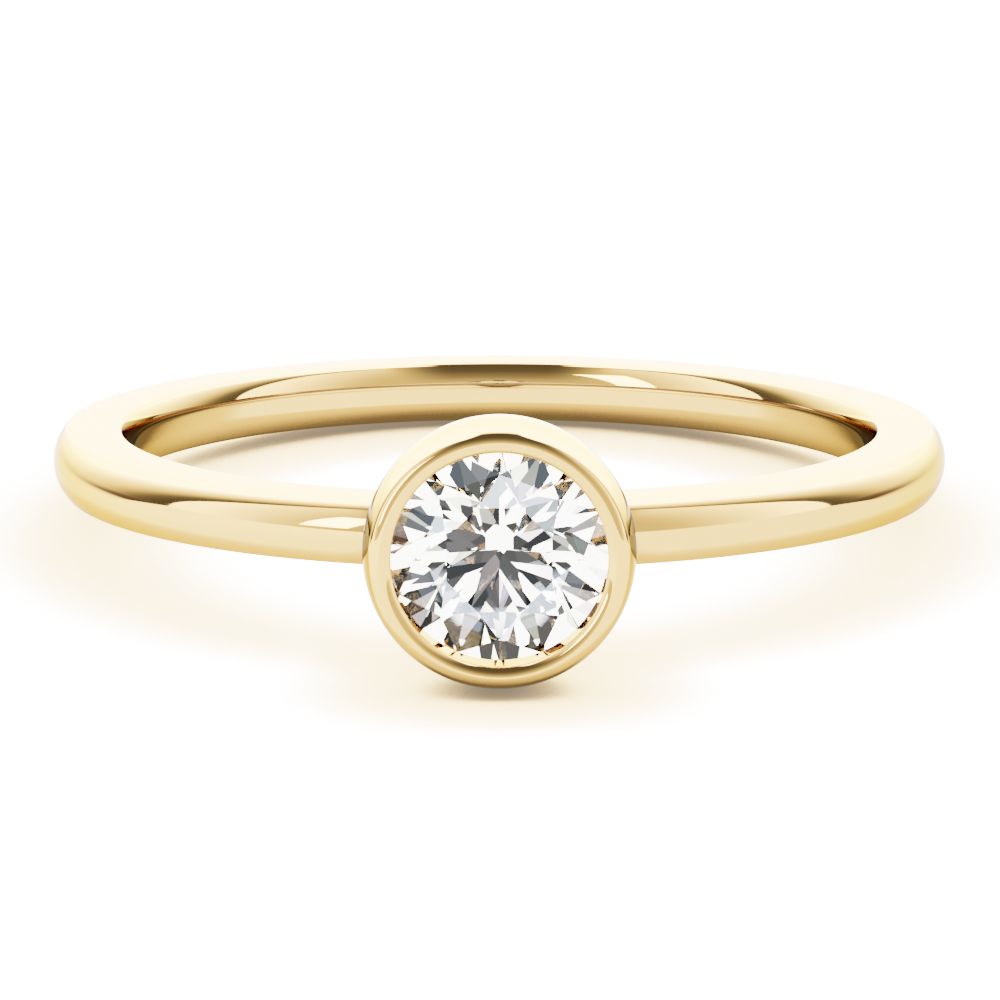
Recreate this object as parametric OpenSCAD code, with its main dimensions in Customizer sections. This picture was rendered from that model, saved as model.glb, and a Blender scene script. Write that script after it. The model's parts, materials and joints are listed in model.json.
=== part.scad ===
/* [Band] */
// Radius of the finger bore at the middle of its width
bore_r = 8.65; // [7.5:0.05:11]
// Width of the band from side face to side face
band_w = 1.44; // [1.3:0.02:1.8]
// Thickness of the band's flat sides, from the bore to the outer edge
side_t = 1.42; // [1.3:0.05:1.8]
// Rise of the domed outside above its edges
dome_rise = 0.29; // [0.2:0.01:0.35]
// Radius of the two comfort-fit arcs at the sides of the bore
comfort_r = 1.1; // [1:0.05:1.6]
// Width of the straight strip in the middle of the bore
bore_flat = 0.3; // [0.2:0.05:0.6]

/* [Bezel cup] */
// Height of the rim's outer edge above the outside of the band
rim_stand = 2.44; // [2.3:0.02:2.8]
// Width of the rounded rim
rim_w = 0.44; // [0.42:0.01:0.47]
// Rise of the rounded rim in front of its edges
rim_rise = 0.09; // [0.06:0.01:0.2]
// Radius of the ball that the cup's outside is cut from
cup_r = 2.92; // [2.9:0.01:2.94]
// Distance from the ball's middle, where the cup is widest, to the rim's outer edge
wall_l = 1.01; // [0.96:0.01:1.05]
// Distance from the bore to the cup's flat base
base_inset = 0.63; // [0.5:0.01:0.8]
// Radius of the hole drilled through the band under the stone
back_r = 0.4; // [0.3:0.05:0.5]

/* [Stone] */
// Diameter of the stone
stone_d = 4.64; // [4.6:0.01:4.66]
// Depth of the stone's girdle below the rim's outer edge
set_depth = 0.8; // [0.7:0.01:0.85]
// Gap between the stone and its seat
seat_gap = 0.05; // [0.03:0.01:0.06]
// Diameter of the table, corner to corner, as a share of the stone's diameter
table_share = 0.52; // [0.5:0.01:0.6]
// Slope of the crown's kites
crown_angle = 34.5; // [32:0.5:36]
// Slope of the pavilion's mains
pavilion_angle = 40.8; // [40:0.2:42]
// Height of the girdle as a share of the stone's diameter
girdle_share = 0.03; // [0.02:0.005:0.04]
// How far the stars reach from the table to the girdle
star_share = 0.55; // [0.45:0.01:0.6]
// How far the lower halves reach from the girdle to the culet
lower_share = 0.78; // [0.7:0.01:0.85]
// Turn of the stone in its seat, which lays two edges of its table level
stone_turn = 22.5; // [0:0.5:45]

/* [Hidden] */
$fn = 128;
// Allowance by which a cutting shape runs past the face that it cuts
past = 1;
// Depth by which the rounded rim reaches into the wall below it
rim_root = 0.1;

// Band section, measured from the axis of the bore
edge_r = bore_r + side_t;
outer_r = edge_r + dome_rise;
half_w = band_w / 2;
dome_r = arc_radius(band_w, dome_rise);

// Cup, measured outwards from the axis of the bore
rim_z = outer_r + rim_stand;
wide_z = rim_z - wall_l;
base_z = bore_r + base_inset;
rim_r = sqrt(pow(cup_r, 2) - pow(wall_l, 2));
rim_arc_r = arc_radius(rim_w, rim_rise);
open_r = rim_r - rim_w;

// Stone and seat, measured like the cup
stone_r = stone_d / 2;
girdle_h = girdle_share * stone_d;
girdle_top_z = rim_z - set_depth;
girdle_low_z = girdle_top_z - girdle_h;
seat_r = stone_r + seat_gap;
ledge_z = girdle_top_z + (stone_r - open_r) * tan(crown_angle) + seat_gap;
throat_z = girdle_low_z - (seat_r - back_r) * tan(pavilion_angle);

// Rest: the cup's widest circle and the band's back edge stand on one plane
rest_span = wide_z + edge_r;
rest_tilt = asin(cup_r / norm([rest_span, half_w])) - atan2(half_w, rest_span);
lift = cup_r - wide_z * sin(rest_tilt);
front_y = (rim_z + rim_rise - rim_arc_r) * cos(rest_tilt)
    + (rim_r - rim_w / 2) * sin(rest_tilt) + rim_arc_r;
back_y = (outer_r - dome_r) * cos(rest_tilt) + dome_r;
centre_y = (front_y - back_y) / 2;

// Radius of an arc from its chord and its rise
function arc_radius(chord, rise) = (pow(chord / 2, 2) + pow(rise, 2)) / (2 * rise);

// Point at a radius, an angle and a height
function polar(r, angle, z) = [r * cos(angle), r * sin(angle), z];

// Lies the ring on its side, with its origin below the middle of its outline
module at_rest() {
    translate([0, centre_y, lift])
        rotate([-rest_tilt, 0, 0])
            children();
}

// Turns what is built along +Z from the bore's axis towards the front
module facing_front() {
    rotate([90, 0, 0])
        children();
}

// Section of the band: flat sides, domed outside and comfort-fit bore
module band_section() {
    intersection() {
        translate([bore_r, -half_w])
            square([outer_r - bore_r, band_w]);
        translate([outer_r - dome_r, 0])
            circle(dome_r);
        union() {
            for (side = [-1, 1])
                translate([bore_r + comfort_r, side * bore_flat / 2])
                    circle(comfort_r);
            translate([bore_r, -bore_flat / 2])
                square([2 * comfort_r, bore_flat]);
        }
    }
}

module band() {
    rotate_extrude()
        band_section();
}

// Half section of the cup's outside: rounded rim and ball-shaped wall
module cup_section() {
    translate([rim_r - rim_w / 2, rim_z + rim_rise - rim_arc_r])
        intersection() {
            circle(rim_arc_r);
            translate([-rim_w, rim_arc_r - rim_rise - rim_root])
                square([2 * rim_w, rim_rise + rim_root]);
            translate([-rim_w / 2, -rim_arc_r])
                square([rim_w, 2 * rim_arc_r]);
        }
    intersection() {
        translate([0, wide_z])
            circle(cup_r);
        translate([0, base_z])
            square([cup_r, rim_z - base_z]);
    }
}

module cup_body() {
    rotate_extrude()
        cup_section();
}

// Inside of the cup: opening, groove for the girdle, seat and drilled back
module cup_hollow() {
    rotate_extrude()
        polygon([
            [0, rim_z + past],
            [open_r, rim_z + past],
            [open_r, ledge_z],
            [seat_r, ledge_z],
            [seat_r, girdle_low_z],
            [back_r, throat_z],
            [back_r, bore_r - past],
            [0, bore_r - past]
        ]);
}

module ring_body() {
    color("gold")
        at_rest()
            difference() {
                union() {
                    band();
                    facing_front()
                        cup_body();
                }
                facing_front()
                    cup_hollow();
            }
}

// Round brilliant: eight-fold, each kite and main a flat four-sided facet
module brilliant() {
    step = 360 / 8;
    half_step = step / 2;
    table_r = table_share * stone_r;
    table_mid_r = table_r * cos(half_step);
    star_r = table_mid_r + star_share * (stone_r - table_mid_r);
    lower_r = (1 - lower_share) * stone_r;
    culet_z = girdle_low_z - stone_r * tan(pavilion_angle);

    // Height of a kite's plane and of a main's plane at a distance along its middle line
    function kite_z(x) = girdle_top_z + (stone_r - x) * tan(crown_angle);
    function main_z(x) = culet_z + x * tan(pavilion_angle);

    table = [for (k = [0:7]) polar(table_r, k * step, kite_z(table_r))];
    stars = [for (k = [0:7]) polar(star_r, (k + 0.5) * step, kite_z(star_r * cos(half_step)))];
    girdle_top = [for (k = [0:15]) polar(stone_r, k * half_step, girdle_top_z)];
    girdle_low = [for (k = [0:15]) polar(stone_r, k * half_step, girdle_low_z)];
    lowers = [for (k = [0:7]) polar(lower_r, (k + 0.5) * step, main_z(lower_r * cos(half_step)))];
    culet = [[0, 0, culet_z]];

    // First index of each group of points
    s = 8;
    t = s + 8;
    l = t + 16;
    p = l + 16;
    c = p + 8;

    // Facets, each listed clockwise seen from outside
    table_facet = [[for (k = [7:-1:0]) k]];
    star_facets = [for (k = [0:7]) [k, (k + 1) % 8, s + k]];
    kite_facets = [for (k = [0:7]) [k, s + k, t + 2 * k, s + (k + 7) % 8]];
    upper_halves = [for (k = [0:7], side = [0, 1])
        side == 0
            ? [s + k, t + 2 * k + 1, t + 2 * k]
            : [s + k, t + (2 * k + 2) % 16, t + 2 * k + 1]];
    girdle_facets = [for (k = [0:15]) [t + k, t + (k + 1) % 16, l + (k + 1) % 16, l + k]];
    lower_halves = [for (k = [0:7], side = [0, 1])
        side == 0
            ? [p + k, l + 2 * k, l + 2 * k + 1]
            : [p + k, l + 2 * k + 1, l + (2 * k + 2) % 16]];
    main_facets = [for (k = [0:7]) [c, p + (k + 7) % 8, l + 2 * k, p + k]];

    polyhedron(
        points = concat(table, stars, girdle_top, girdle_low, lowers, culet),
        faces = concat(table_facet, star_facets, kite_facets, upper_halves,
            girdle_facets, lower_halves, main_facets)
    );
}

module stone() {
    color("whitesmoke")
        at_rest()
            facing_front()
                rotate([0, 0, stone_turn])
                    brilliant();
}

ring_body();
stone();
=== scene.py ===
# Bezel set ring: a polished yellow gold band and cup with a round brilliant, lying on its side
import json
import math

import bmesh
import bpy
import numpy as np
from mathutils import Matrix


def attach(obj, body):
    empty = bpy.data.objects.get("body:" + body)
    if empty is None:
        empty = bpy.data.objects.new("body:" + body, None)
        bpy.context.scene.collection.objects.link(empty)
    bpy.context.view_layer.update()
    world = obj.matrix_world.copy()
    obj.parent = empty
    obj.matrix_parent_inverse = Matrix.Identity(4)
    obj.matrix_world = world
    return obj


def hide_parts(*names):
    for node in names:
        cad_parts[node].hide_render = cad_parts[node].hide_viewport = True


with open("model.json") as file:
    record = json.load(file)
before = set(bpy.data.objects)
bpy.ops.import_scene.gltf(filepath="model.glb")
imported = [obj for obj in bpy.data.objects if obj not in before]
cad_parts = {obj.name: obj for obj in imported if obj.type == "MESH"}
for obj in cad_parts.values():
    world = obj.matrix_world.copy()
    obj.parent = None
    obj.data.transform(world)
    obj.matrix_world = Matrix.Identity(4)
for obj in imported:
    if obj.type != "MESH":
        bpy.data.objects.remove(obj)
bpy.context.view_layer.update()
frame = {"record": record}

mm = 0.001
fullTurn = 2 * math.pi


# Where the ring lies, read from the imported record: its centre and the axis of its finger bore
fingerBore = frame["record"]["mounts"][0]
ringCentre = np.array(fingerBore["pos_m"])
boreAxis = np.array(fingerBore["axis"])
rightWay = np.array([1.0, 0.0, 0.0])
backWay = np.cross(boreAxis, rightWay)  # away from the stone


def placeAtRest(points):
    # Points in mm, with the bore along Z and the stone towards -Y, as metres in the frame at rest.
    return ringCentre + (points @ np.array([rightWay, backWay, boreAxis])) * mm


def mergePoints(mesh, within):
    # Merges the points that lie closer than a distance, and drops the faces that this closes up.
    work = bmesh.new()
    work.from_mesh(mesh)
    bmesh.ops.remove_doubles(work, verts=work.verts, dist=within)
    bmesh.ops.dissolve_degenerate(work, edges=work.edges, dist=within)
    bmesh.ops.recalc_face_normals(work, faces=work.faces)
    work.to_mesh(mesh)
    work.free()


def makeMesh(name, points, faces, mergeWithin=1e-8):
    # A mesh from an array of points and an array of faces, with the points that meet merged.
    mesh = bpy.data.meshes.new(name)
    mesh.from_pydata(points.tolist(), [], faces.tolist())
    mergePoints(mesh, mergeWithin)
    piece = bpy.data.objects.new(name, mesh)
    bpy.context.scene.collection.objects.link(piece)
    return piece


def gridFaces(rows, columns, rowsClose):
    # Faces of a grid whose columns run round and close, and whose rows may close too.
    row = np.arange(rows if rowsClose else rows - 1)[:, None]
    column = np.arange(columns)[None, :]
    nextRow = (row + 1) % rows
    nextColumn = (column + 1) % columns
    corners = [
        row * columns + column,
        nextRow * columns + column,
        nextRow * columns + nextColumn,
        row * columns + nextColumn,
    ]
    return np.stack([np.broadcast_to(c, (row.size, columns)).ravel() for c in corners], 1)


def arcPoints(centre, radius, fromDegrees, toDegrees, steps):
    # Points on a circle: the centre plus the radius times cosine and sine of an even run of angles.
    angle = np.radians(np.linspace(fromDegrees, toDegrees, steps))
    return np.stack([centre[0] + radius * np.cos(angle), centre[1] + radius * np.sin(angle)], 1)


def linePoints(start, end, steps):
    # Points on a straight line, evenly spaced.
    share = np.linspace(0, 1, steps)[:, None]
    return (1 - share) * np.array(start) + share * np.array(end)


def alongCurve(curve, fromStart, fromEnd, steps):
    # A curve's points again, evenly spaced, without a length at each end.
    gone = np.concatenate([[0], np.cumsum(np.hypot(*np.diff(curve, axis=0).T))])
    where = np.linspace(fromStart, gone[-1] - fromEnd, steps)
    return np.stack([np.interp(where, gone, curve[:, 0]), np.interp(where, gone, curve[:, 1])], 1)


def softChain(curves, soft, softSteps, closes):
    # Joins curves end to end and rounds each corner by its own length: near a corner both curves stop
    # short of it, and a parabola whose control point is the corner runs from one to the other.
    share = np.linspace(0, 1, softSteps + 1)[1:-1, None]
    atStart = [soft[i - 1] if closes or i > 0 else 0 for i in range(len(curves))]
    atEnd = [soft[i] if closes or i < len(curves) - 1 else 0 for i in range(len(curves))]
    parts = [alongCurve(c, atStart[i], atEnd[i], len(c)) for i, c in enumerate(curves)]
    chain = []
    for i, part in enumerate(parts):
        chain.append(part)
        if closes or i < len(parts) - 1:
            following = parts[(i + 1) % len(parts)]
            corner = curves[i][-1]
            chain.append((1 - share) ** 2 * part[-1] + 2 * share * (1 - share) * corner
                         + share ** 2 * following[0])
    return np.concatenate(chain)


def arcRadius(chord, rise):
    # Radius of an arc from its chord and its rise.
    return ((chord / 2) ** 2 + rise ** 2) / (2 * rise)


# Band: a flat-sided band with a domed outside and a comfort-fit bore, sizes in mm
band = {
    "boreRadius": 8.65,
    "width": 1.44,
    "sideThickness": 1.42,
    "domeRise": 0.29,
    "comfortRadius": 1.1,
    "boreFlat": 0.3,
    "softEdge": 0.03,
    "softBoreEdge": 0.07,
    "stepsRound": 480,
    "stepsAcrossDome": 33,
    "stepsAcrossSide": 4,
    "stepsInComfort": 15,
    "stepsInFlat": 5,
    "stepsInSoft": 7,
}


def bandProfile():
    # Closed outline as radius and height: dome, side, comfort-fit bore, side.
    half = band["width"] / 2
    edge = band["boreRadius"] + band["sideThickness"]
    domeRadius = arcRadius(band["width"], band["domeRise"])
    domeCentre = edge + band["domeRise"] - domeRadius
    domeHalf = math.degrees(math.asin(half / domeRadius))
    comfort = band["comfortRadius"]
    comfortCentre = band["boreRadius"] + comfort
    comfortSteps = band["stepsInComfort"]
    flatHalf = band["boreFlat"] / 2
    comfortHalf = math.degrees(math.asin((half - flatHalf) / comfort))
    dome = arcPoints((domeCentre, 0), domeRadius, -domeHalf, domeHalf, band["stepsAcrossDome"])
    topArc = arcPoints((comfortCentre, flatHalf), comfort, 180 - comfortHalf, 180, comfortSteps)
    lowArc = arcPoints((comfortCentre, -flatHalf), comfort, 180, 180 + comfortHalf, comfortSteps)
    flat = linePoints(topArc[-1], lowArc[0], band["stepsInFlat"])
    bore = np.concatenate([topArc, flat[1:-1], lowArc])
    topSide = linePoints(dome[-1], bore[0], band["stepsAcrossSide"])
    lowSide = linePoints(bore[-1], dome[0], band["stepsAcrossSide"])
    soft = [band["softEdge"], band["softBoreEdge"], band["softBoreEdge"], band["softEdge"]]
    return softChain([dome, topSide, bore, lowSide], soft, band["stepsInSoft"], True)


def makeBand():
    # The outline carried round the bore's axis: x and y are the radius times sine and minus cosine
    # of the angle, and z is the outline's height.
    outline = bandProfile()
    angle = np.arange(band["stepsRound"]) * fullTurn / band["stepsRound"]
    radius, height = outline[:, 0:1], outline[:, 1:2]
    points = np.stack([
        radius * np.sin(angle),
        -radius * np.cos(angle),
        height + 0 * angle,
    ], -1).reshape(-1, 3)
    return makeMesh("band", placeAtRest(points), gridFaces(len(outline), len(angle), True))


# Cup: a ball-shaped bezel cup with a rounded rim and a seat for the stone, in mm
cup = {
    "rimStand": 2.44,
    "rimWidth": 0.44,
    "rimRise": 0.09,
    "ballRadius": 2.92,
    "wallLength": 1.01,
    "baseInset": 0.63,
    "softEdge": 0.025,
    "softCrease": 0.06,
    "stepsRound": 256,
    "stepsInWall": 57,
    "stepsInRim": 21,
    "stepsInOpening": 7,
    "stepsInSeat": 12,
    "stepsUnder": 6,
    "stepsInSoft": 5,
}

# Drilled back: a hole under the stone, widened where it meets the seat, in mm
drill = {
    "radius": 0.4,
    "wideRadius": 0.8,
    "countersink": 0.02,
    "aboveSeat": 0.1,
    "pastBore": 0.5,
}

# Stone: its diameter and depths in mm, its shares of the diameter or radius, and its angles in degrees
stone = {
    "diameter": 4.64,
    "setDepth": 0.8,
    "seatGap": 0.05,
    "tableShare": 0.52,
    "crownAngle": 34.5,
    "pavilionAngle": 40.8,
    "girdleShare": 0.03,
    "starShare": 0.55,
    "lowerShare": 0.78,
    "turn": 22.5,
    "folds": 8,
    "stepsInHalfSector": 6,
    "mergeWithin": 2e-7,  # m
    "flatWithin": 0.2,  # degrees between faces that are one facet
}

# Places that the cup, the drilled back and the stone share, measured from the bore's axis
outerRadius = band["boreRadius"] + band["sideThickness"] + band["domeRise"]
rimHeight = outerRadius + cup["rimStand"]
wideHeight = rimHeight - cup["wallLength"]
rimRadius = math.sqrt(cup["ballRadius"] ** 2 - cup["wallLength"] ** 2)
openRadius = rimRadius - cup["rimWidth"]
stoneRadius = stone["diameter"] / 2
girdleTop = rimHeight - stone["setDepth"]
girdleLow = girdleTop - stone["girdleShare"] * stone["diameter"]
crownSlope = math.tan(math.radians(stone["crownAngle"]))
pavilionSlope = math.tan(math.radians(stone["pavilionAngle"]))
seatRadius = stoneRadius + stone["seatGap"]


def turnAboutHead(name, outline, closes):
    # An outline as radius and distance from the bore's axis, carried round the stone's axis.
    angle = np.arange(cup["stepsRound"]) * fullTurn / cup["stepsRound"]
    radius, forward = outline[:, 0:1], outline[:, 1:2]
    points = np.stack([
        radius * np.sin(angle),
        -forward + 0 * angle,
        radius * np.cos(angle),
    ], -1).reshape(-1, 3)
    return makeMesh(name, placeAtRest(points), gridFaces(len(outline), len(angle), closes))


def makeCup():
    # Outline from the axis: base, ball-shaped wall, rounded rim, opening, groove, cone of the seat.
    base = band["boreRadius"] + cup["baseInset"]
    lowTurn = math.degrees(math.asin((base - wideHeight) / cup["ballRadius"]))
    rimTurn = math.degrees(math.asin(cup["wallLength"] / cup["ballRadius"]))
    wall = arcPoints((0, wideHeight), cup["ballRadius"], lowTurn, rimTurn, cup["stepsInWall"])
    rimArc = arcRadius(cup["rimWidth"], cup["rimRise"])
    rimHalf = math.degrees(math.asin(cup["rimWidth"] / 2 / rimArc))
    rimCentre = (rimRadius - cup["rimWidth"] / 2, rimHeight + cup["rimRise"] - rimArc)
    rim = arcPoints(rimCentre, rimArc, 90 - rimHalf, 90 + rimHalf, cup["stepsInRim"])
    ledge = girdleTop + (stoneRadius - openRadius) * crownSlope + stone["seatGap"]
    opening = linePoints((openRadius, rimHeight), (openRadius, ledge), cup["stepsInOpening"])
    step = linePoints((openRadius, ledge), (seatRadius, ledge), 2)
    groove = linePoints((seatRadius, ledge), (seatRadius, girdleLow), 2)
    tip = (0, girdleLow - seatRadius * pavilionSlope)
    seat = linePoints((seatRadius, girdleLow), tip, cup["stepsInSeat"])
    under = linePoints((0, base), wall[0], cup["stepsUnder"])
    soft = [cup["softEdge"], cup["softCrease"], cup["softEdge"]]
    outside = softChain([under, wall, rim, opening], soft, cup["stepsInSoft"], False)
    return turnAboutHead("cup", np.concatenate([outside, step[1:], groove[1:], seat[1:]]), False)


def makeDrill():
    # Outline of the cutter for the drilled back: a hole through the band and a countersink above it.
    wideAt = girdleLow - (seatRadius - drill["wideRadius"]) * pavilionSlope
    narrowAt = wideAt - (drill["wideRadius"] - drill["radius"]) * pavilionSlope
    top = wideAt + drill["aboveSeat"]
    bottom = band["boreRadius"] - drill["pastBore"]
    outline = np.array([
        [0, top],
        [drill["wideRadius"], top],
        [drill["wideRadius"], wideAt - drill["countersink"]],
        [drill["radius"], narrowAt - drill["countersink"]],
        [drill["radius"], bottom],
        [0, bottom],
    ])
    return turnAboutHead("drill", outline, False)


def combine(piece, other, operation):
    # Joins or cuts with another closed mesh and keeps the result as the piece's own mesh.
    cut = piece.modifiers.new(operation, "BOOLEAN")
    cut.operation = operation
    cut.object = other
    cut.solver = "MANIFOLD"
    graph = bpy.context.evaluated_depsgraph_get()
    result = bpy.data.meshes.new_from_object(piece.evaluated_get(graph))
    piece.modifiers.clear()
    piece.data = result
    bpy.data.objects.remove(other)


# Ring body: what is done to the metal once it is one piece
ringBody = {
    "mergeWithin": 3e-7,  # m, closes the slivers that the cuts leave
    "sharpFrom": 28,  # degrees between faces from which an edge shows sharp
}


def makeRingBody():
    # Band and cup soldered to one body, with the back drilled through.
    body = makeBand()
    combine(body, makeCup(), "UNION")
    combine(body, makeDrill(), "DIFFERENCE")
    mergePoints(body.data, ringBody["mergeWithin"])
    body.name = "ring_metal"
    body.data.name = "ring_metal"
    body.data.polygons.foreach_set("use_smooth", np.ones(len(body.data.polygons), bool))
    body.data.set_sharp_from_angle(angle=math.radians(ringBody["sharpFrom"]))
    even = body.modifiers.new("even shading", "WEIGHTED_NORMAL")
    even.mode = "FACE_AREA"
    even.weight = 100
    even.keep_sharp = True
    return body


# Stone: a round brilliant whose facets are planes, each a slope and a turn about the stone's axis
def crossing(heightA, slopeA, towardsA, heightB, slopeB, towardsB, angle):
    # Distance from the axis at which two planes cross along a ray. A plane's height along the ray is
    # its height at the axis less its slope times the distance times the cosine of the angle between.
    steepA = slopeA * np.cos(angle - towardsA)
    steepB = slopeB * np.cos(angle - towardsB)
    return (heightA - heightB) / (steepA - steepB)


def makeStone():
    # Rays at even angles over half a sector, mirrored and repeated round. Along each ray the surface
    # is straight between the places where neighbouring facets cross, so every facet stays flat.
    sector = fullTurn / stone["folds"]
    steps = stone["stepsInHalfSector"]
    angle = np.linspace(0, sector / 2, steps + 1)  # 0 is a kite's middle, half a sector a star's
    halfway = sector / 2
    tableRadius = stone["tableShare"] * stoneRadius
    tableMiddle = tableRadius * math.cos(halfway)
    starTip = tableMiddle + stone["starShare"] * (stoneRadius - tableMiddle)
    lowerTip = (1 - stone["lowerShare"]) * stoneRadius

    # Kite and main planes, then the star through the table's edge, then the halves through the tips
    kiteHeight = girdleTop + stoneRadius * crownSlope
    tableHeight = kiteHeight - tableRadius * crownSlope
    tipHeight = kiteHeight - starTip * math.cos(halfway) * crownSlope
    starSlope = (tableHeight - tipHeight) / (starTip - tableMiddle)
    starHeight = tableHeight + starSlope * tableMiddle
    culetHeight = girdleLow - stoneRadius * pavilionSlope
    lowTipHeight = culetHeight + lowerTip * math.cos(halfway) * pavilionSlope

    def halfPlane(tipRadius, tipAt, girdleAt):
        # The plane of a half facet, through a tip and two girdle corners, at the kite's middle and at
        # the star's: its height at the axis, its slope and the way in which it falls.
        corners = np.array([
            [stoneRadius, 0, girdleAt],
            [stoneRadius * math.cos(halfway), stoneRadius * math.sin(halfway), girdleAt],
            [tipRadius * math.cos(halfway), tipRadius * math.sin(halfway), tipAt],
        ])
        fit = np.linalg.solve(np.column_stack([corners[:, :2], np.ones(3)]), corners[:, 2])
        return fit[2], math.hypot(fit[0], fit[1]), math.atan2(-fit[1], -fit[0])

    upper = halfPlane(starTip, tipHeight, girdleTop)
    lower = halfPlane(lowerTip, lowTipHeight, girdleLow)
    kite = (kiteHeight, crownSlope, 0.0)
    star = (starHeight, starSlope, halfway)
    main = (culetHeight, pavilionSlope, math.pi)

    def planeAt(plane, distance):
        # A plane's height at a distance along each ray.
        return plane[0] - plane[1] * distance * np.cos(angle - plane[2])

    tableEdge = tableMiddle / np.cos(angle - halfway)
    starEnd = crossing(*star, *kite, angle)
    kiteEnd = crossing(*kite, *upper, angle)
    lowerEnd = crossing(*main, *lower, angle)
    rim = np.full_like(angle, stoneRadius)
    nothing = np.zeros_like(angle)
    distances = np.stack([nothing, tableEdge, starEnd, kiteEnd, rim, rim, lowerEnd, nothing])
    heights = np.stack([
        nothing + tableHeight,
        nothing + tableHeight,
        planeAt(kite, starEnd),
        planeAt(kite, kiteEnd),
        planeAt(upper, rim),
        planeAt(lower, rim),
        planeAt(main, lowerEnd),
        nothing + culetHeight,
    ])

    # The half sector and its mirror image, then a copy for each fold
    distances = np.concatenate([distances, distances[:, -2:0:-1]], 1)
    heights = np.concatenate([heights, heights[:, -2:0:-1]], 1)
    distances = np.tile(distances, (1, stone["folds"]))
    heights = np.tile(heights, (1, stone["folds"]))
    columns = distances.shape[1]
    turned = np.arange(columns) * fullTurn / columns + math.radians(stone["turn"])
    points = np.stack([
        distances * np.cos(turned),
        -heights,
        distances * np.sin(turned),
    ], -1).reshape(-1, 3)
    faces = gridFaces(len(distances), columns, False)
    gem = makeMesh("stone_brilliant", placeAtRest(points), faces, stone["mergeWithin"])

    # Each facet becomes one flat polygon
    flat = math.radians(stone["flatWithin"])
    work = bmesh.new()
    work.from_mesh(gem.data)
    bmesh.ops.dissolve_limit(work, angle_limit=flat, verts=work.verts, edges=work.edges)
    work.to_mesh(gem.data)
    work.free()
    return gem


# Materials
def linearColour(hexColour):
    # sRGB hex to linear red, green and blue with full alpha.
    shares = [int(hexColour[i:i + 2], 16) / 255 for i in (1, 3, 5)]
    return [s / 12.92 if s <= 0.04045 else ((s + 0.055) / 1.055) ** 2.4 for s in shares] + [1]


def addNode(tree, kind, settings=None):
    # Adds a node: a socket is linked, stops fill a ramp, and other values set an input or a property.
    node = tree.nodes.new(kind)
    for name, value in (settings or {}).items():
        if name == "stops":
            stops = node.color_ramp.elements
            stops.remove(stops[1])
            for i, (place, colour) in enumerate(value):
                stop = stops[0] if i == 0 else stops.new(place)
                stop.position = place
                stop.color = (*colour, 1)
        elif isinstance(value, bpy.types.NodeSocket):
            tree.links.new(value, node.inputs[name])
        elif isinstance(name, int) or name in node.inputs:
            node.inputs[name].default_value = value
        else:
            setattr(node, name, value)
    return node


def newTree(name):
    # A new material and its empty node tree.
    material = bpy.data.materials.new(name)
    material.use_nodes = True
    material.node_tree.nodes.clear()
    return material, material.node_tree


gold = {
    "colour": "#FBBA75",
    "edgeTint": "#FFE3B5",  # keeps glancing reflections golden
    "markSpacing": 0.05,  # mm between the finest marks that the buffing wheel leaves
    "halvings": 3,  # of that spacing, from the widest marks to the finest
    "smoothest": 0.035,
    "roughest": 0.055,
}


def polishedYellowGold():
    # 14 karat yellow gold, cast and buffed to a mirror: deep warm reflections with sharp edges.
    material, tree = newTree("yellow gold, cast and mirror polished")
    coords = addNode(tree, "ShaderNodeTexCoord")
    marks = addNode(tree, "ShaderNodeTexNoise", {
        "Vector": coords.outputs["Object"],
        "Scale": 1 / (gold["markSpacing"] * 2 ** gold["halvings"] * mm),
        "Detail": gold["halvings"],
    })
    polish = addNode(tree, "ShaderNodeMapRange", {
        "Value": marks.outputs["Fac"],
        "To Min": gold["smoothest"],
        "To Max": gold["roughest"],
    })
    metal = addNode(tree, "ShaderNodeBsdfPrincipled", {
        "Base Color": linearColour(gold["colour"]),
        "Specular Tint": linearColour(gold["edgeTint"]),
        "Metallic": 1.0,
        "Roughness": polish.outputs["Result"],
    })
    addNode(tree, "ShaderNodeOutputMaterial", {"Surface": metal.outputs["BSDF"]})
    return material


diamond = {
    "refraction": 2.417,
    "glint": 0.15,  # strength of the mirror reflections on the facets, 0.5 being bare diamond's
    "glintTint": "#D8E8FA",  # takes the gold's warmth out of them
}


def cutDiamond():
    # Diamond, cut and polished: clear and colourless, with a very high refraction.
    material, tree = newTree("diamond, brilliant cut")
    clear = addNode(tree, "ShaderNodeBsdfPrincipled", {
        "Base Color": (1, 1, 1, 1),
        "Roughness": 0.0,
        "IOR": diamond["refraction"],
        "Transmission Weight": 1.0,
        "Specular IOR Level": diamond["glint"],
        "Specular Tint": linearColour(diamond["glintTint"]),
    })
    addNode(tree, "ShaderNodeOutputMaterial", {"Surface": clear.outputs["BSDF"]})
    return material


print("making the ring's metal")
ringMetal = makeRingBody()
ringMetal.data.materials.clear()
ringMetal.data.materials.append(polishedYellowGold())
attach(ringMetal, "root")
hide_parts("ring_body")

print("making the stone")
gem = makeStone()
gem.data.materials.append(cutDiamond())
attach(gem, "root")
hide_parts("stone")


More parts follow.
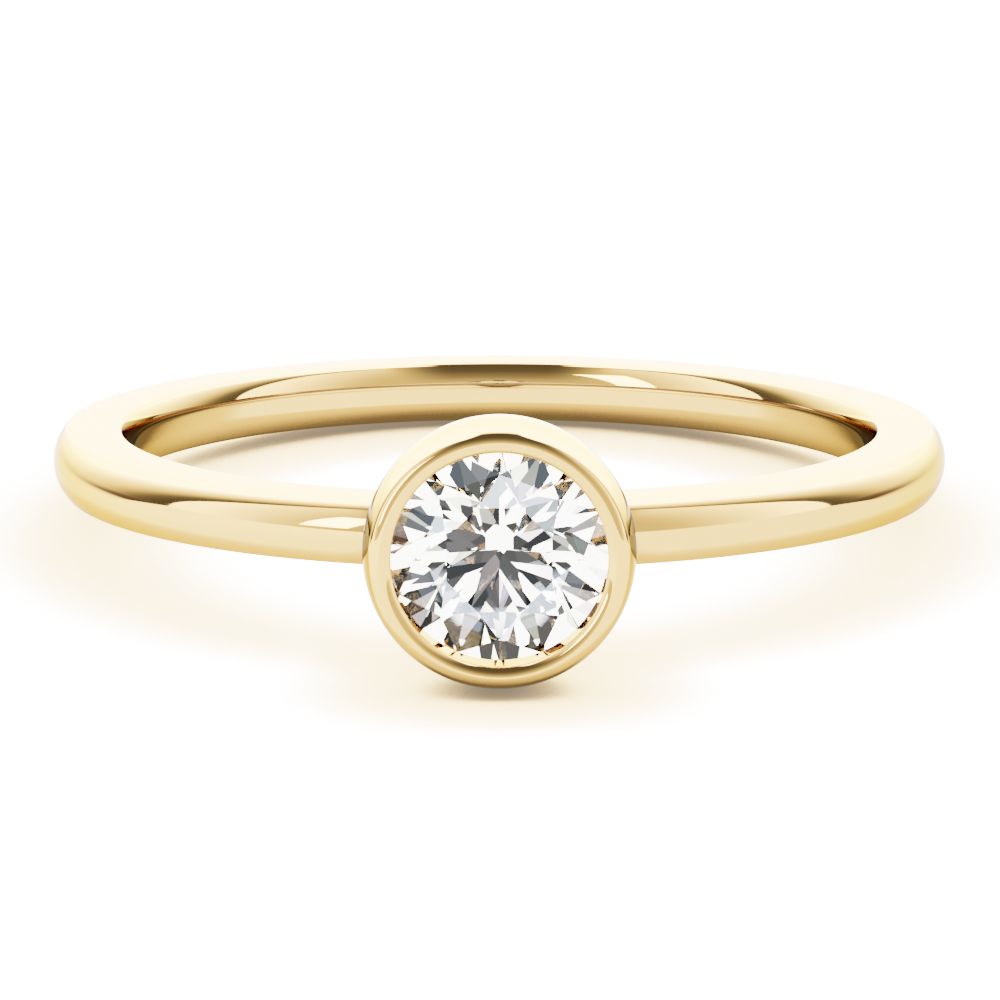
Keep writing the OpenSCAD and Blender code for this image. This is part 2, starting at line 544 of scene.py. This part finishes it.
# Studio: a light tent made of panels, and a pale floor. A place in the tent is a direction, with x to
# the right, y to the back and z up, each from -1 to 1. In the rows of light, each row is a place and
# the light there.
dimmestLight = 0.05
doublings = 8.1  # how often the dimmest light doubles up to the brightest that a ramp holds
studio = {
    # in front of the ring, by elevation in degrees
    "front": [(-2, 1.0), (1, 1.0), (3, 1.6), (6, 1.6), (9, 1.1), (12, 0.87), (16, 0.7), (20, 0.47),
              (24, 0.36), (28, 0.29), (32, 0.23), (36, 0.165), (40, 0.14), (45, 0.125), (90, 0.1)],
    # two side panels by y, how far aside they fade in, and the middle and half size of a window
    "side": [(-1.0, 1.2), (-0.75, 1.35), (-0.65, 1.7), (-0.54, 2.4), (-0.43, 3.1), (-0.3, 4.3),
             (-0.17, 5.5), (0.0, 6.0)],
    "sideFade": (0.22, 0.55),
    "windowAlong": (-0.702, 0.08),
    "windowUp": (0.3, 0.2),
    # behind the panels' slanted edges, dark at first and then white
    "behind": [(-0.1, 0.1), (0.07, 0.115), (0.2, 0.22), (0.27, 0.45), (0.34, 1.0), (0.42, 1.75),
               (0.5, 2.5), (0.6, 3.3), (0.7, 4.6), (0.78, 6.2), (0.88, 8.6), (0.98, 13.0)],
    "edgeAt": 0.035,
    "edgeSlant": 0.78,
    "edgeFade": 0.004,
    "stripFade": (0.15, 0.3),
    "stripSlant": 0.83,
    "moreUpwards": 0.25,
    "moreBehind": 1.5,
    "moreToRight": 0.03,
    # tint of the tent's light by its power, from dark to bright
    "tentTint": [(0.12, (0.82, 1.0, 0.98)), (0.32, (0.87, 1.0, 0.87)), (0.44, (0.95, 1.0, 0.81)),
                 (0.6, (1.0, 0.9, 0.72)), (0.73, (1.0, 0.96, 0.95)), (0.85, (1.0, 0.97, 0.97)),
                 (0.98, (0.97, 0.92, 1.0))],
    # what the stone gathers through its facets: dark, grey and white panels, and a dark disc ahead
    "mosaicScale": 3.4,
    "mosaicSeed": 10,
    "mosaic": [(0.0, 0.05), (0.37, 0.06), (0.38, 0.3), (0.46, 0.3), (0.47, 1.2), (0.54, 1.4), (0.55, 5.0),
               (0.6, 6.0), (0.61, 12.0), (1.0, 13.0)],
    "mosaicTint": 0.2,
    "discTowards": (0.0, -0.962, 0.274),
    "discFade": (0.965, 0.985),
    "discPower": 1.0,
    "whiteInGold": (0.55, 1.1, 3.0, 1.0),
    # painted shade where gold mirrors gold, in creases and the bore: the tint that darkens and cools the
    # light there, and the depth past which a ray has been mirrored twice, which the world counts one higher
    # than the floor does
    "paintedCornerShade": (0.2, 0.42, 1.2, 1.0),
    "twiceInTent": 2.5,
    "twiceOnFloor": 1.5,
    # the floor's rings in m, its light for each kind of ray, and where that changes, in mm
    "floorRings": [0.0, 0.02, 0.1, 0.4, 1.5],
    "floorSteps": 64,
    "floorForCamera": 17.0,
    "floorForMetal": 3.4,
    "floorAtLeft": 4.3,
    "floorForStone": 9.0,
    "darkForStone": 0.15,
    "leftFade": (-2, -16),
    "metalFade": (17, 30),
    "stoneFade": (28, 31),
    # painted shade on the floor, from ambient occlusion: its reach in mm, its samples, and how far the light
    # that it imitates comes from the back
    "shadeReach": 2.8,
    "shadeSamples": 16,
    "lightFromBack": 0.6,
    # painted warm shade and contact shadow of the floor by how open it lies, for the camera and as mirrored
    # in the metal
    "paintedFloorShade": [(0.05, (0.010, 0.008, 0.006)), (0.2, (0.028, 0.020, 0.012)), (0.3, (0.06, 0.038, 0.020)),
                  (0.36, (0.15, 0.09, 0.042)), (0.44, (0.29, 0.178, 0.086)), (0.52, (0.35, 0.217, 0.108)),
                  (0.72, (0.41, 0.262, 0.14)), (0.82, (0.50, 0.335, 0.207)), (0.92, (0.68, 0.54, 0.41)),
                  (1.0, (1.0, 1.0, 1.0))],
    "paintedFloorShadeInMetal": [(0.43, (0.055, 0.06, 0.053)), (0.49, (0.12, 0.12, 0.095)), (0.56, (0.34, 0.30, 0.23)),
                  (0.64, (0.53, 0.45, 0.345)), (0.75, (0.64, 0.545, 0.42)), (0.88, (0.72, 0.61, 0.475)),
                  (0.96, (0.92, 0.87, 0.80)), (1.0, (1.0, 1.0, 1.0))],
}


def lightAlong(tree, place, rows):
    # A ramp of light in steps of equal ratio: its value times the doublings is the power of two by
    # which the light stands above the dimmest.
    low = rows[0][0]
    span = rows[-1][0] - low
    shares = [math.log2(level / dimmestLight) / doublings for _, level in rows]
    along = addNode(tree, "ShaderNodeMapRange", {"Value": place, "From Min": low, "From Max": low + span})
    ramp = addNode(tree, "ShaderNodeValToRGB", {
        "Fac": along.outputs["Result"],
        "stops": [((row[0] - low) / span, (share,) * 3) for row, share in zip(rows, shares)],
    })
    power = addNode(tree, "ShaderNodeMath", {
        "operation": "MULTIPLY", 0: ramp.outputs["Color"], 1: doublings,
    })
    return power.outputs[0]


def lightOf(tree, power):
    # Light of a ramp's value: the dimmest light times two to its power.
    twos = addNode(tree, "ShaderNodeMath", {"operation": "POWER", 0: 2.0, 1: power})
    light = addNode(tree, "ShaderNodeMath", {
        "operation": "MULTIPLY", 0: twos.outputs[0], 1: dimmestLight,
    })
    return light.outputs[0]


def kindsOfRay(tree, twiceAbove):
    # Whether a ray comes from the stone, the colour of light that it meets, and whether it has been
    # mirrored twice. The colour is white, or what gold turns to white where the ray left the stone
    # and then met the metal round it.
    ray = addNode(tree, "ShaderNodeLightPath")
    inside = addNode(tree, "ShaderNodeMath", {
        "operation": "GREATER_THAN", 0: ray.outputs["Transmission Depth"], 1: 0.5,
    })
    fromStone = addNode(tree, "ShaderNodeMath", {
        "operation": "MAXIMUM", 0: inside.outputs[0], 1: ray.outputs["Is Singular Ray"],
    })
    colour = addNode(tree, "ShaderNodeMix", {
        "data_type": "RGBA", "Factor": ray.outputs["Is Singular Ray"],
        6: studio["whiteInGold"], 7: (1, 1, 1, 1),
    })
    twice = addNode(tree, "ShaderNodeMath", {
        "operation": "GREATER_THAN", 0: ray.outputs["Ray Depth"], 1: twiceAbove,
    })
    return fromStone.outputs[0], colour.outputs[2], twice.outputs[0]


def makeTent():
    # The light tent: a world whose light depends on the direction and the kind of a ray.
    world = bpy.data.worlds.new("light tent")
    bpy.context.scene.world = world
    world.use_nodes = True
    tree = world.node_tree
    tree.nodes.clear()
    coords = addNode(tree, "ShaderNodeTexCoord")
    split = addNode(tree, "ShaderNodeSeparateXYZ", {"Vector": coords.outputs["Generated"]})
    x, y, z = split.outputs
    aside = addNode(tree, "ShaderNodeMath", {"operation": "ABSOLUTE", 0: x}).outputs[0]
    arc = addNode(tree, "ShaderNodeMath", {"operation": "ARCSINE", 0: z})
    elevation = addNode(tree, "ShaderNodeMath", {"operation": "DEGREES", 0: arc.outputs[0]}).outputs[0]

    # In front: dark in the middle above, and a panel at either side
    middle = lightAlong(tree, elevation, studio["front"])
    panel = lightAlong(tree, y, studio["side"])
    share = addNode(tree, "ShaderNodeMapRange", {
        "interpolation_type": "SMOOTHSTEP",
        "Value": aside,
        "From Min": studio["sideFade"][0],
        "From Max": studio["sideFade"][1],
    })
    front = addNode(tree, "ShaderNodeMix", {
        "data_type": "FLOAT", "Factor": share.outputs["Result"], "A": middle, "B": panel,
    })

    # A bright window in the left panel
    along, halfLength = studio["windowAlong"]
    up, halfHeight = studio["windowUp"]
    inWidth = addNode(tree, "ShaderNodeMath", {"operation": "COMPARE", 0: y, 1: along, 2: halfLength})
    inHeight = addNode(tree, "ShaderNodeMath", {"operation": "COMPARE", 0: z, 1: up, 2: halfHeight})
    atLeft = addNode(tree, "ShaderNodeMath", {"operation": "LESS_THAN", 0: x, 1: 0.0})
    inBoth = addNode(tree, "ShaderNodeMath", {
        "operation": "MULTIPLY", 0: inWidth.outputs[0], 1: inHeight.outputs[0],
    })
    window = addNode(tree, "ShaderNodeMath", {
        "operation": "MULTIPLY", 0: inBoth.outputs[0], 1: atLeft.outputs[0],
    })
    front = addNode(tree, "ShaderNodeMix", {
        "data_type": "FLOAT", "Factor": window.outputs[0], "A": front.outputs["Result"], "B": doublings,
    })

    # Distance behind the panels' slanted edges: y plus the edge's slant times z squared, less where it
    # stands, and less the strip's slant times z along the middle, where a dark strip runs on overhead
    high = addNode(tree, "ShaderNodeMath", {"operation": "MULTIPLY", 0: z, 1: z})
    past = addNode(tree, "ShaderNodeMath", {
        "operation": "MULTIPLY_ADD", 0: high.outputs[0], 1: studio["edgeSlant"], 2: y,
    })
    strip = addNode(tree, "ShaderNodeMapRange", {
        "interpolation_type": "SMOOTHSTEP",
        "Value": aside,
        "From Min": studio["stripFade"][0],
        "From Max": studio["stripFade"][1],
        "To Min": -studio["stripSlant"],
        "To Max": 0.0,
    })
    overhead = addNode(tree, "ShaderNodeMath", {
        "operation": "MULTIPLY_ADD", 0: strip.outputs["Result"], 1: z, 2: -studio["edgeAt"],
    })
    behind = addNode(tree, "ShaderNodeMath", {
        "operation": "ADD", 0: past.outputs[0], 1: overhead.outputs[0],
    }).outputs[0]

    # The light there grows upwards, the more so further behind, and a little to the right
    rising = addNode(tree, "ShaderNodeMath", {
        "operation": "MULTIPLY_ADD", 0: behind, 1: studio["moreBehind"], 2: studio["moreUpwards"],
    })
    lifted = addNode(tree, "ShaderNodeMath", {
        "operation": "MULTIPLY_ADD", 0: rising.outputs[0], 1: z, 2: behind,
    })
    lopsided = addNode(tree, "ShaderNodeMath", {
        "operation": "MULTIPLY_ADD", 0: x, 1: studio["moreToRight"], 2: lifted.outputs[0],
    })
    back = lightAlong(tree, lopsided.outputs[0], studio["behind"])
    edge = addNode(tree, "ShaderNodeMapRange", {
        "Value": behind, "From Min": -studio["edgeFade"], "From Max": studio["edgeFade"],
    })
    level = addNode(tree, "ShaderNodeMix", {
        "data_type": "FLOAT", "Factor": edge.outputs["Result"], "A": front.outputs["Result"], "B": back,
    })
    share = addNode(tree, "ShaderNodeMath", {
        "operation": "DIVIDE", 0: level.outputs["Result"], 1: doublings,
    })
    tint = addNode(tree, "ShaderNodeValToRGB", {"Fac": share.outputs[0], "stops": studio["tentTint"]})

    # The stone gathers a mosaic of panels instead, each of one brightness and faint tint
    panels = addNode(tree, "ShaderNodeTexVoronoi", {
        "voronoi_dimensions": "4D", "Vector": coords.outputs["Generated"],
        "Scale": studio["mosaicScale"], "W": studio["mosaicSeed"],
    })
    picked = addNode(tree, "ShaderNodeSeparateColor", {"Color": panels.outputs["Color"]})
    mosaic = lightAlong(tree, picked.outputs[0], studio["mosaic"])
    ahead = addNode(tree, "ShaderNodeVectorMath", {
        "operation": "DOT_PRODUCT", 0: coords.outputs["Generated"], 1: studio["discTowards"],
    })
    dark = addNode(tree, "ShaderNodeMapRange", {
        "Value": ahead.outputs["Value"],
        "From Min": studio["discFade"][0],
        "From Max": studio["discFade"][1],
    })
    gathered = addNode(tree, "ShaderNodeMix", {
        "data_type": "FLOAT", "Factor": dark.outputs["Result"], "A": mosaic, "B": studio["discPower"],
    })
    forStone, viaStone, inCorner = kindsOfRay(tree, studio["twiceInTent"])
    faint = addNode(tree, "ShaderNodeMix", {
        "data_type": "RGBA", "Factor": studio["mosaicTint"],
        6: viaStone, 7: panels.outputs["Color"], "blend_type": "MULTIPLY",
    })
    # Painted shade: light met after two mirrorings in the gold is darkened and cooled by a tint
    cornerShaded = addNode(tree, "ShaderNodeMix", {
        "data_type": "RGBA", "blend_type": "MULTIPLY",
        "Factor": inCorner, 6: tint.outputs["Color"], 7: studio["paintedCornerShade"],
    })
    colour = addNode(tree, "ShaderNodeMix", {
        "data_type": "RGBA", "Factor": forStone, 6: cornerShaded.outputs[2], 7: faint.outputs[2],
    })
    power = addNode(tree, "ShaderNodeMix", {
        "data_type": "FLOAT", "Factor": forStone, "A": level.outputs["Result"],
        "B": gathered.outputs["Result"],
    })
    glow = addNode(tree, "ShaderNodeBackground", {
        "Color": colour.outputs[2], "Strength": lightOf(tree, power.outputs["Result"]),
    })
    addNode(tree, "ShaderNodeOutputWorld", {"Surface": glow.outputs["Background"]})


def makeFloor():
    # A pale round sheet: radius times cosine and sine of the angle, at the height of the ring's foot.
    steps = studio["floorSteps"]
    angle = np.arange(steps) * fullTurn / steps
    radius = np.array(studio["floorRings"])[:, None]
    points = np.stack([radius * np.cos(angle), radius * np.sin(angle), 0 * radius * angle], -1)
    floor = makeMesh("floor", points.reshape(-1, 3), gridFaces(len(radius), steps, False))
    # The floor glows with its own light, and a ramp of ambient occlusion paints a warm shade and contact
    # shadow onto it below and beside the metal
    material, tree = newTree("pale floor with a painted warm shade below the metal")
    coords = addNode(tree, "ShaderNodeTexCoord")
    split = addNode(tree, "ShaderNodeSeparateXYZ", {"Vector": coords.outputs["Object"]})
    away = addNode(tree, "ShaderNodeVectorMath", {"operation": "LENGTH", 0: coords.outputs["Object"]})
    ray = addNode(tree, "ShaderNodeLightPath")
    # The occlusion leans to the back, so the painted shadow falls forward as if lit from behind
    lean = studio["lightFromBack"]
    towards = addNode(tree, "ShaderNodeCombineXYZ", {"Y": lean, "Z": math.sqrt(1 - lean * lean)})
    shade = addNode(tree, "ShaderNodeAmbientOcclusion", {
        "samples": studio["shadeSamples"],
        "Distance": studio["shadeReach"] * mm,
        "Normal": towards.outputs["Vector"],
    })
    # Painted shade: how open the floor lies becomes a warm darkening for the camera, and a duller one where
    # the metal mirrors the floor
    paintedShadeSeen = addNode(tree, "ShaderNodeValToRGB", {"Fac": shade.outputs["AO"], "stops": studio["paintedFloorShade"]})
    mirrored = addNode(tree, "ShaderNodeValToRGB", {"Fac": shade.outputs["AO"], "stops": studio["paintedFloorShadeInMetal"]})
    forStone, viaStone, inCorner = kindsOfRay(tree, studio["twiceOnFloor"])
    # Painted shade: the floor's light met after two mirrorings in the gold is darkened and cooled by a tint
    cornerShaded = addNode(tree, "ShaderNodeMix", {
        "data_type": "RGBA", "blend_type": "MULTIPLY",
        "Factor": inCorner, 6: mirrored.outputs["Color"], 7: studio["paintedCornerShade"],
    })
    inBoth = addNode(tree, "ShaderNodeMix", {
        "data_type": "RGBA", "Factor": forStone, 6: cornerShaded.outputs[2], 7: viaStone,
    })
    tint = addNode(tree, "ShaderNodeMix", {
        "data_type": "RGBA",
        "Factor": ray.outputs["Is Camera Ray"],
        6: inBoth.outputs[2],
        7: paintedShadeSeen.outputs["Color"],
    })

    # In the metal's reflections the floor's painted light is brighter at the left, and darkens away from
    # the ring, in front of the dark that is behind the panels
    ahead = addNode(tree, "ShaderNodeMath", {
        "operation": "DIVIDE", 0: split.outputs["Y"], 1: away.outputs["Value"],
    })
    behind = addNode(tree, "ShaderNodeMath", {
        "operation": "SUBTRACT", 0: ahead.outputs[0], 1: studio["edgeAt"],
    }).outputs[0]
    dark = lightOf(tree, lightAlong(tree, behind, studio["behind"]))
    far = addNode(tree, "ShaderNodeMapRange", {
        "interpolation_type": "SMOOTHSTEP",
        "Value": away.outputs["Value"],
        "From Min": studio["metalFade"][0] * mm,
        "From Max": studio["metalFade"][1] * mm,
    })
    beyond = addNode(tree, "ShaderNodeMath", {"operation": "GREATER_THAN", 0: behind, 1: 0.0})
    fading = addNode(tree, "ShaderNodeMath", {
        "operation": "MULTIPLY", 0: far.outputs["Result"], 1: beyond.outputs[0],
    })
    atLeft = addNode(tree, "ShaderNodeMapRange", {
        "Value": split.outputs["X"],
        "From Min": studio["leftFade"][0] * mm,
        "From Max": studio["leftFade"][1] * mm,
        "To Min": studio["floorForMetal"],
        "To Max": studio["floorAtLeft"],
    })
    forMetal = addNode(tree, "ShaderNodeMix", {
        "data_type": "FLOAT", "Factor": fading.outputs[0], "A": atLeft.outputs["Result"], "B": dark,
    })

    # In the stone it is white close by, and dark further off
    outer = addNode(tree, "ShaderNodeMapRange", {
        "Value": away.outputs["Value"],
        "From Min": studio["stoneFade"][0] * mm,
        "From Max": studio["stoneFade"][1] * mm,
        "To Min": studio["floorForStone"],
        "To Max": studio["darkForStone"],
    })
    forBoth = addNode(tree, "ShaderNodeMix", {
        "data_type": "FLOAT",
        "Factor": forStone,
        "A": forMetal.outputs["Result"],
        "B": outer.outputs["Result"],
    })
    strength = addNode(tree, "ShaderNodeMix", {
        "data_type": "FLOAT",
        "Factor": ray.outputs["Is Camera Ray"],
        "A": forBoth.outputs["Result"],
        "B": studio["floorForCamera"],
    })
    glow = addNode(tree, "ShaderNodeEmission", {
        "Color": tint.outputs[2], "Strength": strength.outputs["Result"],
    })
    addNode(tree, "ShaderNodeOutputMaterial", {"Surface": glow.outputs["Emission"]})
    floor.data.materials.append(material)


# Camera: the photograph's view, in mm and degrees, fitted to edges of the ring
view = {
    "distance": 131.0,  # from the ring's centre
    "elevation": 15.91,
    "pitch": 16.38,
    "lens": 202.3,
    "shift": 0.0006,  # share of the frame's width
    "nearest": 10,
}


def makeCamera():
    # A camera in front of the ring and above it, tilted down.
    rise = math.radians(view["elevation"])
    offset = np.array([0, -math.cos(rise), math.sin(rise)]) * view["distance"] * mm
    camera = bpy.data.objects.new("camera", bpy.data.cameras.new("camera"))
    bpy.context.scene.collection.objects.link(camera)
    camera.location = ringCentre + offset
    camera.rotation_euler = (math.radians(90 - view["pitch"]), 0, 0)
    camera.data.lens = view["lens"]
    camera.data.shift_x = view["shift"]
    camera.data.clip_start = view["nearest"] * mm
    bpy.context.scene.camera = camera


print("making the studio")
makeFloor()
makeTent()
makeCamera()
bpy.context.scene.view_settings.view_transform = "Filmic"
